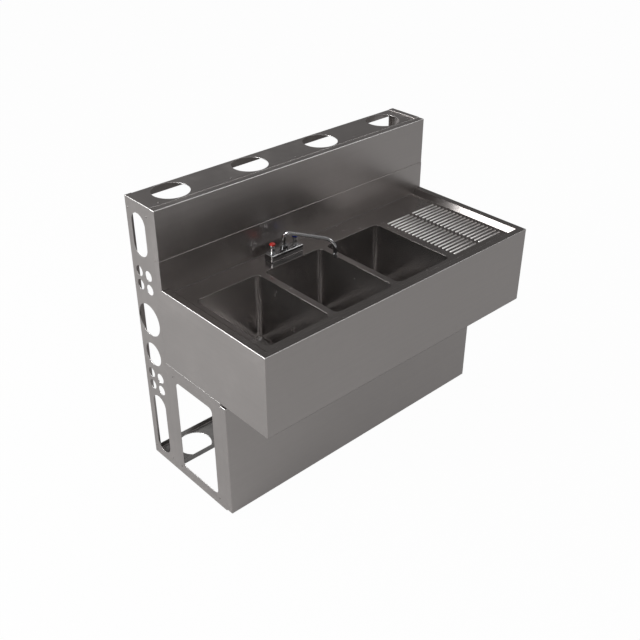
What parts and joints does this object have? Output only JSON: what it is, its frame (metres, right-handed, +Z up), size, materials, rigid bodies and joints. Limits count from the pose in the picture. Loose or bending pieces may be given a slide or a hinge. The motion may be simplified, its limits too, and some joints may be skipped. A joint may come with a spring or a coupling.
{
  "type": "underbar sink",
  "caption": "Underbar sink unit of folded stainless sheet: bowls in a recessed deck, ribbed drainboard, deck faucet with swinging spout, and an open pipe chase behind a low backsplash.",
  "frame": {"origin": "on the floor, at the centre of the unit's width and depth", "axes": "+X to the right along the unit, +Y to the rear, +Z up"},
  "size_m": [1.222, 0.677, 1.037],
  "materials": {
    "sheet_brushed": "brushed along the length, satin",
    "deck_satin": "satin, more reflective than the panels",
    "bowl_satin": "fine satin",
    "sheet_hidden": "mill finish",
    "screw_steel": "bright",
    "drain_steel": "polished",
    "plated_brass": "plated, dull",
    "faucet_chrome": "mirror chrome",
    "stem_brass": "machined",
    "black_rubber": "matte",
    "white_nylon": "matte",
    "cap_red": "gloss",
    "cap_blue": "gloss"
  },
  "bodies": {
    "unit": {"chase_side_left": "sheet_brushed", "chase_side_right": "sheet_brushed", "chase_top_plate": "sheet_brushed", "chase_floor_plate": "sheet_brushed", "chase_front_panel": "sheet_hidden", "riser_panel": "sheet_brushed", "sink_deck": "deck_satin", "apron_front": "sheet_brushed", "apron_left": "sheet_brushed", "apron_right": "sheet_brushed", "bowl_left": "bowl_satin", "bowl_middle": "bowl_satin", "bowl_right": "bowl_satin", "deck_channels": "sheet_hidden", "base_side_left": "sheet_brushed", "base_side_right": "sheet_brushed", "base_front_panel": "sheet_brushed", "floor_brackets": "sheet_hidden", "chase_screws": "screw_steel", "top_screws": "screw_steel", "base_screws": "screw_steel", "splash_screws": "screw_steel", "panel_screws": "screw_steel", "drain_bodies": "drain_steel", "drain_gaskets": "black_rubber", "drain_locknuts": "plated_brass", "drain_coupling_nuts": "plated_brass", "drain_tailpieces": "plated_brass", "strainer_plates": "drain_steel", "strainer_screws": "screw_steel", "faucet_body": "faucet_chrome", "faucet_gasket": "black_rubber", "supply_shanks": "plated_brass", "shank_washers": "plated_brass", "shank_nuts": "plated_brass", "bonnet_hot": "faucet_chrome", "bonnet_cold": "faucet_chrome", "spout_nut": "faucet_chrome"},
    "spout": {"spout_tube": "faucet_chrome", "spout_seal": "black_rubber", "spout_washer": "white_nylon", "aerator_shell": "faucet_chrome", "aerator_insert": "white_nylon"},
    "hot_valve": {"stem_hot": "stem_brass", "handle_hot": "faucet_chrome", "handle_screw_hot": "screw_steel", "cap_hot": "cap_red"},
    "cold_valve": {"stem_cold": "stem_brass", "handle_cold": "faucet_chrome", "handle_screw_cold": "screw_steel", "cap_cold": "cap_blue"}
  },
  "joints": [
    {"name": "spout_swing", "type": "hinge", "parent": "unit", "child": "spout", "pos_m": [-0.1406, 0.1261, 0.8], "axis": [0, 0, 1], "range_deg": [-130, 70]},
    {"name": "hot_handle_turn", "type": "hinge", "parent": "unit", "child": "hot_valve", "pos_m": [-0.1914, 0.1261, 0.78], "axis": [0, 0, 1], "range_deg": [0, 90]},
    {"name": "cold_handle_turn", "type": "hinge", "parent": "unit", "child": "cold_valve", "pos_m": [-0.0898, 0.1261, 0.78], "axis": [0, 0, 1], "range_deg": [-90, 0]}
  ]
}
